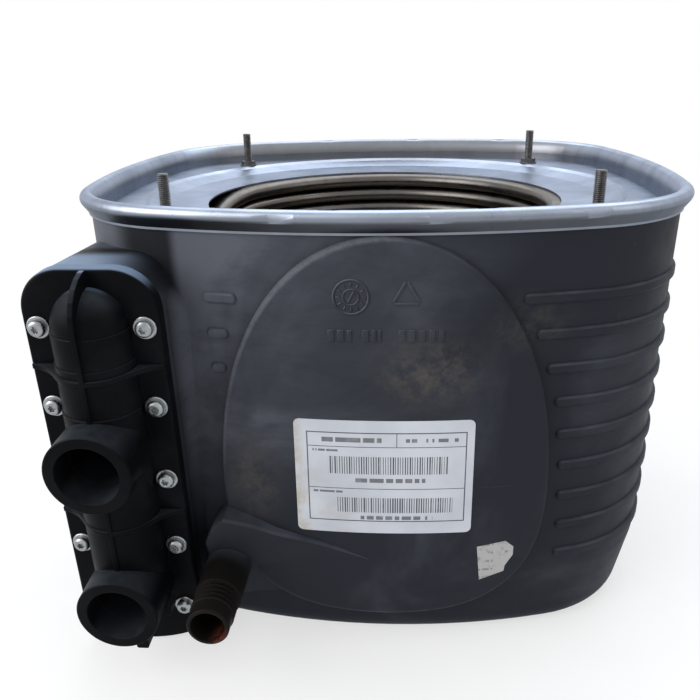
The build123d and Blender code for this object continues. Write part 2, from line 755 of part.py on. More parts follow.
def coil_combs():
    """Three slotted strips outside the turns whose teeth keep the gaps between them."""
    gap = COIL_PITCH - TUBE_HIGH
    outer = COIL_R + TUBE_WIDE / 2
    gaps = [TOP_TURN_Z - COIL_PITCH * (turn + 0.5) for turn in range(11)]
    gaps += [COIL_TOPS["coil_secondary"] - COIL_PITCH * (turn + 0.5) for turn in range(3)]
    strip = Pos(outer + 0.6, 0, 110) * Box(1.2, 14, 190)
    teeth = [Pos(outer - 3, 0, z) * Box(6.4, 10, gap * 0.9) for z in gaps]
    comb = fused([strip, *teeth])
    return Compound([Rot(0, 0, angle) * comb for angle in (20, 85, 285)])


# ---------------------------------------------------------------- manifold pieces

def sheet_piece(y0, thickness):
    """Flat piece on the tube sheet inside the cavity with a snug slot for each tube."""
    outline = RectangleRounded(2 * CAVITY_HALF_W - 1, 2 * CAVITY_HALF_H - 2, CAVITY_CORNER)
    plate = extrude(upright(Pos(HEAD_X, TUBE_SHEET_Z) * outline, y0), amount=thickness, dir=(0, -1, 0))
    return plate.cut(*tube_slots(0.0))


def manifold_divider():
    """Divider behind the cover: a windowed plate and four webs that part the water chambers."""
    outline = slot_face(RECESS_HALF_W - 0.4, RECESS_HALF_H - 0.4, RECESS_CORNER)
    plate = extrude(Pos(0, 0, -FLANGE) * outline, amount=1.5)
    hot = Pos(0, 84, -FLANGE) * Box(16, 8, 10)
    cold = Pos(0, LOWER_PORT - 6, -FLANGE) * Box(18, 11, 10)
    room = header_cavity() & Pos(0, TUBE_SHEET_Y - 3.4 - 50, 0) * Box(800, 100, 600)
    levels = [Pos(HEAD_X, TUBE_SHEET_Y, z) * Box(2 * CAVITY_HALF_W - 1, 100, 2.4) for z in PARTITION_Z]
    return fused([on_head(plate - hot - cold), *[level & room for level in levels]])


def cover_gasket():
    """Flat seal between divider and cover, open along both water ways."""
    outline = slot_face(RECESS_HALF_W - 0.4, RECESS_HALF_H - 0.4, RECESS_CORNER)
    sheet = extrude(Pos(0, 0, 1.5 - FLANGE) * outline, amount=1.5)
    return on_head(sheet.cut(channel_slot(*HOT_WAY, 0.8), channel_slot(*COLD_WAY, 0.8)))


def channel_slot(low, high, grow=0.0):
    """Round-ended opening through the cover's flange, seal and recess along a water way."""
    slot = SlotCenterToCenter(high - low, 2 * (CHANNEL_R + grow), rotation=90)
    return extrude(Pos(0, (low + high) / 2, -FLANGE) * slot, amount=FLANGE + 0.5)


def half_dome(radius, low, high, ball):
    """Half-round rib of the cover from low to high along its y, with a ball end on top if asked."""
    tube = Pos(0, low, 0) * Rot(-90, 0, 0) * stub(radius, high - low)
    shape = tube + Pos(0, high, 0) * Sphere(radius) if ball else tube
    return shape & Pos(0, 0, 50) * Box(200, 400, 100)


def cross_rib(y):
    """Gusset across the cover: low at the edges, humped over the channel."""
    w = COVER_HALF_W - 0.5
    hump = Spline((-w, 0.6), (-21, 6.5), (-9, 18.5), (0, RIB_TOP), (9, 18.5), (21, 6.5), (w, 0.6),
                  tangents=[(1, 0.25), (1, -0.25)])
    base = Polyline((w, 0.6), (w, -1.5), (-w, -1.5), (-w, 0.6))
    face = make_face(Wire([hump, *base.edges()]))
    rib = extrude(face, amount=RIB_T / 2, both=True)
    return Pos(0, y, 0) * Rot(90, 0, 0) * rib


def crest_rib(points):
    """Thin rib along the cover's centre line from its outline in the YZ plane."""
    outline = make_face(Polyline(*[Vector(0, y, z) for y, z in points], close=True))
    return extrude(outline, amount=RIB_T / 2, both=True, dir=(1, 0, 0))


def port(y, length):
    tube = Pos(0, y, -1) * stub(PORT_R, length + 1)
    return chamfer(tube.edges().group_by(Axis.Z)[-1], 0.6)


def port_bore(y):
    """Pipe socket of a port, and the narrower way from it into the channel."""
    return Pos(0, y, PORT_SEAT) * stub(PORT_BORE_R, 60) + Pos(0, y, -20) * stub(CHANNEL_R, 60)


def cover_ribs():
    """The crest rib along the cover's centre line in two runs, and the two gussets across it."""
    high = COVER_HALF_H - 0.8
    return [crest_rib([(high, -1), (high, 2.0), (99, 7.5), (96, 12.5), (91.5, 16.8), (86, 19.6), (79, 20.8),
                       (72, RIB_TOP), (30, RIB_TOP), (30, -1)]),
            crest_rib([(-6, -1), (-6, RIB_TOP), (-54, RIB_TOP), (-54, -1)]),
            cross_rib(SCREW_ROWS[0] - 20), cross_rib(SCREW_ROWS[2] - 20)]


def port_lugs():
    """Two small gripping lugs on the lower port, one under it and one on its right."""
    under = Pos(9.6, LOWER_PORT - PORT_R + 1.6, 23.5) * Box(6.4, 8.4, 7)
    beside = Pos(PORT_R, LOWER_PORT - 9, 11) * Box(3.4, 6, 9)
    return [fillet(lug.edges().filter_by(Axis.Z), 1.2) for lug in (under, beside)]


def manifold_cover():
    flange = extrude(Pos(0, 0, -FLANGE) * cover_face(), amount=FLANGE)
    flange = fillet(flange.edges().group_by(Axis.Z)[-1], 1.6)
    domes = [half_dome(DOME_R, 33, DOME_TOP, True), half_dome(DOME_R + 0.6, -60, 74, False),
             half_dome(DOME_R + 1.2, -60, 58.5, False), half_dome(DOME_R + 1.8, -60, 34, False),
             half_dome(DOME_R + 1.8, LOWER_PORT, -43, False)]
    ports = [port(UPPER_PORT, UPPER_PORT_LENGTH), port(LOWER_PORT, LOWER_PORT_LENGTH)]
    solid = fused([flange, *domes, *cover_ribs(), *ports, *port_lugs()])
    recess = slot_face(RECESS_HALF_W, RECESS_HALF_H, RECESS_CORNER + 0.4)
    ways = [half_dome(CHANNEL_R, *HOT_WAY, True), half_dome(CHANNEL_R, *COLD_WAY, True),
            channel_slot(*HOT_WAY), channel_slot(*COLD_WAY), port_bore(UPPER_PORT), port_bore(LOWER_PORT),
            extrude(Pos(0, 0, -FLANGE - 1) * recess, amount=RECESS_DEPTH + 1)]
    holes = [Pos(x, y, 0) * Cylinder(2.6, 40) for x, y in screw_places()]
    spots = [Pos(x, y, 0) * stub(6.4, 30) for x, y in screw_places()]
    return on_head(solid.cut(*ways, *holes, *spots))


def at_screws(piece):
    """One copy of a fastener at each of the ten screw places on the cover."""
    return Compound([on_head(Pos(x, y, 0) * piece) for x, y in screw_places()])


def cover_screws():
    """Ten pan-head screws with a six-lobe recess, standing on their washers."""
    head = Pos(0, 0, WASHER_T) * stub(4.2, 3.0)
    head = fillet(head.edges().group_by(Axis.Z)[-1], 1.9)
    lobes = [Rot(0, 0, 60 * k) * Pos(1.35, 0, WASHER_T + 1.4) * stub(0.55, 4) for k in range(6)]
    drive = fused([Pos(0, 0, WASHER_T + 1.4) * stub(1.35, 4), *lobes])
    shank = Pos(0, 0, -FLANGE - 9) * stub(SCREW_R, FLANGE + 9 + WASHER_T)
    return at_screws((head - drive) + shank)


def screw_washers():
    washer = stub(5.6, WASHER_T) - Cylinder(SCREW_R, 10)
    return at_screws(chamfer(washer.edges().group_by(Axis.Z)[-1].sort_by(SortBy.LENGTH)[-1], 0.35))


def threaded_inserts():
    tube = Pos(0, 0, -FLANGE - 10) * stub(3.0, 10)
    return at_screws(tube - Cylinder(SCREW_R, 60))


# ---------------------------------------------------------------- labels

def skin(face_xz, thickness):
    """A thin sheet lying on the pad's bulged face, cut from an outline drawn in x and z."""
    slab = extrude(upright(face_xz, -100), amount=100, dir=(0, -1, 0))
    shell = outline_prism(PAD_PROUD + thickness, -20, 240) - outline_prism(PAD_PROUD, -30, 250)
    return slab & shell


def rating_label():
    return skin(Pos(LABEL_X, LABEL_Z) * RectangleRounded(LABEL_W, LABEL_H, 3), 0.25)


def stock_sticker():
    ragged = Polyline((-9, 8.5), (6, 11), (10.5, 7), (10.5, 2), (6.5, -4.5), (6, -8), (-7, -12.5),
                      close=True)
    return skin(Pos(STICKER_X, STICKER_Z) * make_face(ragged), 0.2)


# ---------------------------------------------------------------- write every piece

PIECES = {
    "casing": casing,
    "front_plate": front_plate,
    "front_seal": front_seal,
    "door_studs": door_studs,
    "stud_collars": stud_collars,
    "coil_combs": coil_combs,
    "tie_rods": tie_rods,
    "tie_rod_nuts": tie_rod_nuts,
    "baffle_plate": baffle_plate,
    "baffle_insulation": baffle_insulation,
    "baffle_washer": baffle_washer,
    "baffle_bolt": baffle_bolt,
    "baffle_nut": baffle_nut,
    "rear_plate": rear_plate,
    "rear_insulation": rear_insulation,
    "tube_gasket": lambda: sheet_piece(TUBE_SHEET_Y, 2.0),
    "tube_plate": lambda: sheet_piece(TUBE_SHEET_Y - 2.0, 1.2),
    "manifold_divider": manifold_divider,
    "cover_gasket": cover_gasket,
    "manifold_cover": manifold_cover,
    "cover_screws": cover_screws,
    "screw_washers": screw_washers,
    "threaded_inserts": threaded_inserts,
    "flue_seal": flue_seal,
    "rating_label": rating_label,
    "stock_sticker": stock_sticker,
}

for name, make in PIECES.items():
    save(make(), name)

front_coil = coil()
for name, top in COIL_TOPS.items():
    save(Pos(0, 0, top - TOP_TURN_Z) * front_coil, name)
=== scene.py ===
import math

import bpy
from bpy.props import FloatProperty, FloatVectorProperty, IntProperty, PointerProperty
from mathutils import Matrix, Vector


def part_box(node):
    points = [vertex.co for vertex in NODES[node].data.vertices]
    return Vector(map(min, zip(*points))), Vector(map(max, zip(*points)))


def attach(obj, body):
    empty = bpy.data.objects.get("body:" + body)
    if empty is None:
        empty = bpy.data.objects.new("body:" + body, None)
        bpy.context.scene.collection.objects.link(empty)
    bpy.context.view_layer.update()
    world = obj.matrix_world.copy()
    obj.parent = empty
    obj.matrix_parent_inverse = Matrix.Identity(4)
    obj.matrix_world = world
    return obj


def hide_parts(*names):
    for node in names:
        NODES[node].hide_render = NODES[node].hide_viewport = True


bl_info = {
    "name": "Boiler Heat Exchanger Finishes",
    "version": (1, 0, 0),
    "blender": (4, 5, 0),
    "location": "View3D > Sidebar > Heat Exchanger",
    "description": "Finishes, moulded marks, threaded studs and studio for a coil heat exchanger",
    "category": "Object",
}

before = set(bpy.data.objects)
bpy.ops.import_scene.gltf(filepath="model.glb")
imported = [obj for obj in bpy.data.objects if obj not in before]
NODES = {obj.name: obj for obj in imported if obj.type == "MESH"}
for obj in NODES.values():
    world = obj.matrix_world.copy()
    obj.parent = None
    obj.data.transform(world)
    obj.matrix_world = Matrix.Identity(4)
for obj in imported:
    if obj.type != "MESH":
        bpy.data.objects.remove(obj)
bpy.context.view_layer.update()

MM = 0.001
# heights in this file count from the drawing level, 219 mm below the casing's upper edge
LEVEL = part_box("casing")[1].z - 219 * MM
LABEL_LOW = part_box("rating_label")[0]
PAD_RADIUS = 381.2 * MM
PAD_CENTRE_Y = 218.2 * MM
# the studs stand on a square, this far from the axis in x and y
STUD_OFFSET = 0.110


def up(height):
    """Height in metres of a level given in millimetres above the drawing level."""
    return LEVEL + height * MM


def pad_depth(x):
    """Y of the raised pad's bulged face at x."""
    return PAD_CENTRE_Y - math.sqrt(PAD_RADIUS ** 2 - x * x)


# ---------------------------------------------------------------- modelling helpers

def deselect_all():
    if bpy.context.object and bpy.context.object.mode != "OBJECT":
        bpy.ops.object.mode_set(mode="OBJECT")
    bpy.ops.object.select_all(action="DESELECT")


def name_new(name):
    """Name the primitive just added."""
    piece = bpy.context.object
    piece.name = name
    piece.data.name = name
    return piece


def settle(piece):
    """Put a piece's place into its mesh, so that its object sits at the origin."""
    piece.data.transform(piece.matrix_world)
    piece.matrix_world = Matrix.Identity(4)
    return piece


def join(pieces, name):
    """One object from several."""
    deselect_all()
    for piece in pieces:
        piece.select_set(True)
    bpy.context.view_layer.objects.active = pieces[0]
    bpy.ops.object.join()
    return name_new(name)


def copied(piece, shift):
    """A copy with its own mesh, moved by shift."""
    twin = piece.copy()
    twin.data = piece.data.copy()
    bpy.context.scene.collection.objects.link(twin)
    twin.data.transform(Matrix.Translation(shift))
    return twin


def smooth(piece, angle=35):
    deselect_all()
    piece.select_set(True)
    bpy.context.view_layer.objects.active = piece
    bpy.ops.object.shade_smooth_by_angle(angle=math.radians(angle))


def apply_modifiers(piece):
    deselect_all()
    piece.select_set(True)
    bpy.context.view_layer.objects.active = piece
    for modifier in list(piece.modifiers):
        bpy.ops.object.modifier_apply(modifier=modifier.name)


# ---------------------------------------------------------------- node helpers

class Finish:
    """A material being built: a Principled shader and short calls that add the nodes behind it."""

    def __init__(self, name, colour, roughness, metallic=0.0, specular=0.5):
        self.material = bpy.data.materials.new(name)
        self.material.use_nodes = True
        self.tree = self.material.node_tree
        self.shader = self.tree.nodes["Principled BSDF"]
        self.set("Base Color", (*colour, 1.0))
        self.set("Roughness", roughness)
        self.set("Metallic", metallic)
        self.set("Specular IOR Level", specular)
        self.place = self.tree.nodes.new("ShaderNodeTexCoord").outputs["Object"]

    def set(self, socket, value):
        self.shader.inputs[socket].default_value = value

    def wire(self, source, socket):
        self.tree.links.new(source, self.shader.inputs[socket])

    def feed(self, target, value):
        if isinstance(value, bpy.types.NodeSocket):
            self.tree.links.new(value, target)
        else:
            target.default_value = value

    def math(self, operation, a, b=0.0, c=0.0, clamp=False):
        node = self.tree.nodes.new("ShaderNodeMath")
        node.operation = operation
        node.use_clamp = clamp
        for socket, value in zip(node.inputs, (a, b, c)):
            self.feed(socket, value)
        return node.outputs[0]

    def stretched(self, scale, shift=(0, 0, 0), turn=(0, 0, 0), source=None):
        node = self.tree.nodes.new("ShaderNodeMapping")
        node.inputs["Location"].default_value = shift
        node.inputs["Rotation"].default_value = turn
        node.inputs["Scale"].default_value = scale
        self.tree.links.new(source or self.place, node.inputs["Vector"])
        return node.outputs[0]

    def noise(self, scale, detail=3.0, rough=0.55, vector=None, distortion=0.0):
        node = self.tree.nodes.new("ShaderNodeTexNoise")
        self.tree.links.new(vector or self.place, node.inputs["Vector"])
        node.inputs["Scale"].default_value = scale
        node.inputs["Detail"].default_value = detail
        node.inputs["Roughness"].default_value = rough
        node.inputs["Distortion"].default_value = distortion
        return node.outputs["Fac"]

    def band(self, value, low, high, out_low=0.0, out_high=1.0):
        node = self.tree.nodes.new("ShaderNodeMapRange")
        node.interpolation_type = "SMOOTHSTEP"
        self.feed(node.inputs["Value"], value)
        limits = {"From Min": low, "From Max": high, "To Min": out_low, "To Max": out_high}
        for socket, number in limits.items():
            node.inputs[socket].default_value = number
        return node.outputs["Result"]

    def axes(self, source=None):
        node = self.tree.nodes.new("ShaderNodeSeparateXYZ")
        self.tree.links.new(source or self.place, node.inputs[0])
        return node.outputs[0], node.outputs[1], node.outputs[2]

    def facing(self):
        node = self.tree.nodes.new("ShaderNodeNewGeometry")
        return self.axes(node.outputs["Normal"])

    def blend(self, factor, first, second):
        node = self.tree.nodes.new("ShaderNodeMix")
        node.data_type = "RGBA"
        self.feed(node.inputs["Factor"], factor)
        for socket, value in ((node.inputs["A"], first), (node.inputs["B"], second)):
            if isinstance(value, bpy.types.NodeSocket):
                self.tree.links.new(value, socket)
            else:
                socket.default_value = (*value, 1.0)
        return [out for out in node.outputs if out.type == "RGBA"][0]

    def spot(self, centre, radii, inner=0.4):
        """Soft mask, one inside an ellipsoid in metres and fading to its edge."""
        node = self.tree.nodes.new("ShaderNodeMapping")
        node.vector_type = "TEXTURE"
        node.inputs["Location"].default_value = centre
        node.inputs["Scale"].default_value = radii
        self.tree.links.new(self.place, node.inputs["Vector"])
        length = self.tree.nodes.new("ShaderNodeVectorMath")
        length.operation = "LENGTH"
        self.tree.links.new(node.outputs[0], length.inputs[0])
        return self.band(length.outputs["Value"], 1.0, inner)

    def relief(self, height, distance, strength=1.0, rounding=0.0):
        """Bump from a height in 0..1 over a depth in metres, with edges rounded by a radius."""
        bump = self.tree.nodes.new("ShaderNodeBump")
        bump.inputs["Strength"].default_value = strength
        bump.inputs["Distance"].default_value = distance
        self.feed(bump.inputs["Height"], height)
        if rounding:
            bevel = self.tree.nodes.new("ShaderNodeBevel")
            bevel.samples = 4
            bevel.inputs["Radius"].default_value = rounding
            self.tree.links.new(bevel.outputs[0], bump.inputs["Normal"])
        self.wire(bump.outputs[0], "Normal")


def dress(names, finish):
    """Give CAD nodes a finish."""
    for name in names:
        mesh = NODES[name].data
        mesh.materials.clear()
        mesh.materials.append(finish.material)


# ---------------------------------------------------------------- finishes

def moulded_grain(finish):
    """Height of a moulded skin and the mask of its few fine scratches."""
    grain = finish.noise(2600, 2.0, 0.6)
    swell = finish.noise(38, 3.0)
    streaks = finish.noise(34, 4.0, 0.6, finish.stretched((1.0, 1.0, 22.0), turn=(0.3, 1.1, 0.3)))
    crossing = finish.noise(30, 4.0, 0.6, finish.stretched((24.0, 1.0, 1.0), turn=(0.2, 0.7, 0.5)))
    streaks = finish.math("MULTIPLY", finish.math("MAXIMUM", streaks, crossing),
                          finish.band(finish.noise(17, 2.0), 0.45, 0.6, 0.92, 1.0))
    scratch = finish.band(streaks, 0.71, 0.73)
    height = finish.math("MULTIPLY_ADD", grain, 0.30, finish.math("MULTIPLY", swell, 0.9))
    return finish.math("SUBTRACT", height, finish.math("MULTIPLY", scratch, 0.12)), scratch


def cloudy_grey_left_and_up(finish, x, z):
    """Mask of a cloudy, smeared grey tone that grows towards the left and upwards."""
    place = finish.math("MULTIPLY_ADD", x, -6.2, finish.math("MULTIPLY_ADD", z, 5.2, 0.13 - 5.2 * up(140)))
    broad = finish.noise(11, 5.0, 0.62, distortion=0.8)
    smears = finish.noise(26, 5.0, 0.7, finish.stretched((1.0, 1.0, 3.2), turn=(0.0, 0.25, 0.0)), 0.5)
    cloudy = finish.math("MULTIPLY", finish.band(broad, 0.25, 0.75, 0.45, 1.45),
                         finish.band(smears, 0.2, 0.8, 0.7, 1.3))
    lifted = finish.math("ADD", finish.math("MAXIMUM", place, 0.0), finish.band(broad, 0.45, 0.72, 0.0, 0.16))
    return finish.math("MULTIPLY", lifted, cloudy, clamp=True)


def casing_finish(colour, name="casing_plastic", rounding=0.0008):
    finish = Finish(name, colour, 0.5, specular=0.06)
    x, y, z = finish.axes()
    _, _, facing_up = finish.facing()
    height, scratch = moulded_grain(finish)
    # Greyer towards the left and upwards, in cloudy smears.
    tone = finish.blend(cloudy_grey_left_and_up(finish, x, z), colour, (0.082, 0.088, 0.105))
    settled = finish.math("MULTIPLY", finish.band(facing_up, 0.3, 0.95),
                          finish.band(finish.noise(60, 4.0), 0.3, 0.7, 0.3, 0.8))
    tone = finish.blend(settled, tone, (0.075, 0.083, 0.10))
    smudge_places = (((0.026, -0.163, up(150)), (0.036, 0.03, 0.026), 1.0),
                     ((-0.064, -0.158, up(88)), (0.022, 0.03, 0.034), 0.8),
                     ((0.075, -0.158, up(172)), (0.03, 0.03, 0.02), 0.6))
    smudges = joined(finish, [finish.math("MULTIPLY", finish.spot(place, radii, 0.1), strength)
                              for place, radii, strength in smudge_places])
    worn_off = finish.band(finish.noise(110, 6.0, 0.78), 0.36, 0.68, 0.0, 0.55)
    tone = finish.blend(finish.math("MULTIPLY", smudges, worn_off), tone, (0.098, 0.085, 0.070))
    tone = finish.blend(finish.math("MULTIPLY", scratch, 0.15), tone, (0.10, 0.105, 0.115))
    specks = finish.band(finish.noise(520, 3.0, 0.7), 0.74, 0.78)
    tone = finish.blend(finish.math("MULTIPLY", specks, 0.5), tone, (0.16, 0.155, 0.15))
    # Lighter on the pad's edges where they face up and to the left, towards the key light: some wear and a
    # painted highlight.
    facing_x, _, _ = finish.facing()
    edge_wear_and_highlight = finish.math("SUBTRACT", facing_up, facing_x)
    edge_wear_and_highlight = finish.band(edge_wear_and_highlight, 0.22, 0.70, 0.0, 0.55)
    on_pad = finish.math("MULTIPLY", finish.band(x, -0.094, -0.088), finish.band(x, 0.045, 0.0))
    on_pad = finish.math("MULTIPLY", on_pad, finish.band(y, -0.150, -0.154))
    on_pad = finish.math("MULTIPLY", on_pad, finish.band(z, up(70), up(110)))
    edge_wear_and_highlight = finish.math("MULTIPLY", finish.math("MULTIPLY", edge_wear_and_highlight, on_pad),
                            finish.band(finish.noise(240, 4.0, 0.7), 0.25, 0.6, 0.35, 1.0))
    tone = finish.blend(edge_wear_and_highlight, tone, (0.125, 0.132, 0.150))
    # Painted shade: the casing round the header box, beside the cover, darkened almost to the cover's black.
    header_shade = finish.math("MULTIPLY", finish.band(x, -0.094, -0.101), finish.band(y, -0.128, -0.138))
    tone = finish.blend(finish.math("MULTIPLY", header_shade, 0.9), tone, (0.0055, 0.006, 0.0075))
    sheen = finish.math("MULTIPLY", finish.band(facing_up, 0.35, 0.9), finish.band(x, -0.103, -0.135))
    sheen = finish.math("MULTIPLY", sheen, finish.band(y, -0.140, -0.153))
    tone = finish.blend(finish.math("MULTIPLY", sheen, 0.7), tone, (0.20, 0.26, 0.36))
    drain = finish.spot((-0.0805, -0.205, up(33.5)), (0.026, 0.055, 0.026), 0.75)
    tone = finish.blend(drain, tone, (0.0075, 0.0065, 0.006))
    rust = finish.math("MULTIPLY", finish.spot((-0.0745, -0.203, up(28.0)), (0.009, 0.022, 0.0075), 0.35),
                       finish.band(finish.noise(420, 4.0), 0.35, 0.6))
    finish.wire(finish.blend(rust, tone, (0.075, 0.020, 0.012)), "Base Color")
    finish.wire(finish.band(finish.noise(55, 4.0, 0.65), 0.2, 0.8, 0.44, 0.58), "Roughness")
    finish.relief(height, 0.00010, 0.45, rounding=rounding)
    return finish


def cover_finish(colour):
    finish = Finish("cover_plastic", colour, 0.4, specular=0.035)
    height, scratch = moulded_grain(finish)
    _, _, facing_up = finish.facing()
    cloudy = finish.noise(70, 4.0, 0.6)
    film = finish.band(finish.noise(24, 5.0, 0.65), 0.42, 0.75, 0.0, 0.3)
    tone = finish.blend(film, colour, (0.017, 0.0175, 0.020))
    # Lighter on faces turned up: settled dust and a painted sheen.
    dust_and_sheen = finish.math("MULTIPLY", finish.band(facing_up, 0.3, 0.95), finish.band(cloudy, 0.2, 0.8, 0.3, 0.8))
    tone = finish.blend(dust_and_sheen, tone, (0.035, 0.040, 0.048))
    _, y, z = finish.axes()
    # Painted sheen: a bluish reflection along the upward edge at the top of the cover's flange.
    crown_sheen = finish.math("MULTIPLY", finish.band(facing_up, 0.45, 0.9), finish.band(z, up(192), up(199)))
    crown_sheen = finish.math("MULTIPLY", crown_sheen, finish.band(y, -0.1795, -0.1770))
    tone = finish.blend(finish.math("MULTIPLY", crown_sheen, 0.8), tone, (0.15, 0.20, 0.29))
    tone = finish.blend(finish.math("MULTIPLY", scratch, 0.15), tone, (0.06, 0.063, 0.068))
    finish.wire(tone, "Base Color")
    finish.wire(finish.band(cloudy, 0.2, 0.8, 0.36, 0.50), "Roughness")
    finish.relief(height, 0.00010, 0.45, rounding=0.0010)
    return finish


def plate_finish(colour):
    finish = Finish("plate_steel", colour, 0.34, metallic=1.0)
    finish.set("Specular Tint", (0.72, 0.76, 0.84, 1.0))
    _, _, facing_up = finish.facing()
    wear = finish.noise(30, 5.0, 0.65)
    smear = finish.noise(16, 5.0, 0.7, finish.stretched((1.0, 2.2, 1.0), turn=(0, 0, 0.5)), 0.6)
    pores = finish.noise(1500, 2.0)
    tone = finish.blend(finish.band(smear, 0.35, 0.7), colour, tuple(c * 0.76 for c in colour))
    specks = finish.band(finish.noise(240, 3.0, 0.7), 0.66, 0.72)
    tone = finish.blend(finish.math("MULTIPLY", specks, 0.5), tone, (0.16, 0.145, 0.13))
    # Painted shade: the steel darker where it turns sideways.
    side = finish.band(facing_up, 0.55, 0.05, 0.0, 0.42)
    tone = finish.blend(side, tone, (0.085, 0.085, 0.088))
    _, facing_y, _ = finish.facing()
    _, y, _ = finish.axes()
    # Painted shade: the far rim's inner wall, facing the front, darker.
    inner = finish.math("MULTIPLY", finish.band(facing_y, -0.25, -0.7), finish.band(y, 0.09, 0.13))
    tone = finish.blend(finish.math("MULTIPLY", inner, 0.6), tone, (0.15, 0.143, 0.138))
    # Painted shade: darker still where the steel faces down.
    under = finish.band(facing_up, -0.05, -0.55, 0.0, 0.72)
    tone = finish.blend(under, tone, (0.045, 0.045, 0.049))
    finish.wire(tone, "Base Color")
    finish.wire(finish.band(wear, 0.3, 0.72, 0.34, 0.42), "Roughness")
    height = finish.math("MULTIPLY_ADD", pores, 0.25, finish.math("MULTIPLY", wear, 0.8))
    finish.relief(height, 0.00002, 0.35)
    return finish


def coil_finish(colour):
    finish = Finish("coil_steel", colour, 0.38, metallic=1.0)
    heat = finish.noise(24, 4.0, 0.6)
    drawn = finish.noise(400, 3.0, 0.6, finish.stretched((0.15, 0.15, 1.0)))
    tint = finish.blend(finish.band(heat, 0.3, 0.7), colour, (0.115, 0.10, 0.088))
    soot = finish.math("MULTIPLY", finish.band(finish.noise(90, 4.0), 0.5, 0.7), 0.35)
    finish.wire(finish.blend(soot, tint, (0.055, 0.05, 0.047)), "Base Color")
    finish.wire(finish.band(drawn, 0.25, 0.75, 0.24, 0.40), "Roughness")
    finish.relief(drawn, 0.00005, 0.5)
    return finish


def zinc_finish(name, colour, roughness, dirt):
    """Plated steel with fine tumbling marks and dull dirt where it is not rubbed."""
    finish = Finish(name, colour, roughness, metallic=1.0)
    tumble = finish.noise(900, 3.0, 0.7)
    cloud = finish.noise(180, 4.0)
    tone = finish.blend(finish.math("MULTIPLY", finish.band(cloud, 0.45, 0.7), dirt), colour,
                        tuple(c * 0.35 for c in colour))
    finish.wire(tone, "Base Color")
    finish.wire(finish.band(tumble, 0.3, 0.7, roughness - 0.06, roughness + 0.14), "Roughness")
    finish.relief(tumble, 0.00001, 0.3, rounding=0.0003)
    return finish


def brass_finish():
    return zinc_finish("brass", (0.72, 0.50, 0.20), 0.32, 0.4)


def rubber_finish():
    finish = Finish("seal_rubber", (0.016, 0.016, 0.017), 0.62)
    bloom = finish.noise(120, 4.0, 0.6)
    tone = finish.blend(finish.band(bloom, 0.45, 0.75, 0.0, 0.5), (0.016, 0.016, 0.017), (0.05, 0.05, 0.052))
    finish.wire(tone, "Base Color")
    finish.wire(finish.band(bloom, 0.3, 0.7, 0.5, 0.72), "Roughness")
    finish.relief(finish.noise(1800, 2.0), 0.00004, 0.5)
    return finish


def board_finish():
    finish = Finish("insulation", (0.62, 0.57, 0.47), 0.9)
    fibres = finish.noise(300, 5.0, 0.7, finish.stretched((1.0, 0.4, 1.0), turn=(0.4, 0.2, 0.9)))
    scorch = finish.noise(22, 4.0)
    tone = finish.blend(finish.band(fibres, 0.3, 0.7), (0.50, 0.45, 0.36), (0.66, 0.61, 0.52))
    tone = finish.blend(finish.band(scorch, 0.45, 0.8, 0.0, 0.5), tone, (0.22, 0.17, 0.12))
    finish.wire(tone, "Base Color")
    finish.relief(fibres, 0.0005, 0.8)
    return finish


# ---- the blank label: place on it is worked out in millimetres from its lower left corner ----

def label_place(finish):
    x, _, z = finish.axes()
    across = finish.math("MULTIPLY", finish.math("SUBTRACT", x, LABEL_LOW.x), 1000.0)
    along = finish.math("MULTIPLY", finish.math("SUBTRACT", z, LABEL_LOW.z), 1000.0)
    return across, along


def field(finish, across, along, left, right, low, high):
    """Mask of a rectangle in millimetres."""
    wide = finish.math("COMPARE", across, (left + right) / 2, (right - left) / 2)
    tall = finish.math("COMPARE", along, (low + high) / 2, (high - low) / 2)
    return finish.math("MULTIPLY", wide, tall)


def strokes(finish, across, pitch, seed, share):
    """Uneven upright strokes: a random value for each step of pitch, on or off."""
    step = finish.math("FLOOR", finish.math("DIVIDE", finish.math("ADD", across, seed), pitch))
    node = finish.tree.nodes.new("ShaderNodeTexWhiteNoise")
    node.noise_dimensions = "1D"
    finish.tree.links.new(step, node.inputs["W"])
    return finish.math("LESS_THAN", node.outputs["Value"], share)


def bars(finish, across, pitch, seed, least, spread):
    """Upright bars, one at each step of pitch, of uneven width."""
    place = finish.math("DIVIDE", finish.math("ADD", across, seed), pitch)
    node = finish.tree.nodes.new("ShaderNodeTexWhiteNoise")
    node.noise_dimensions = "1D"
    finish.tree.links.new(finish.math("FLOOR", place), node.inputs["W"])
    width = finish.math("MULTIPLY_ADD", node.outputs["Value"], spread, least)
    return finish.math("LESS_THAN", finish.math("FRACT", place), width)


def joined(finish, masks):
    total = masks[0]
    for mask in masks[1:]:
        total = finish.math("MAXIMUM", total, mask)
    return total


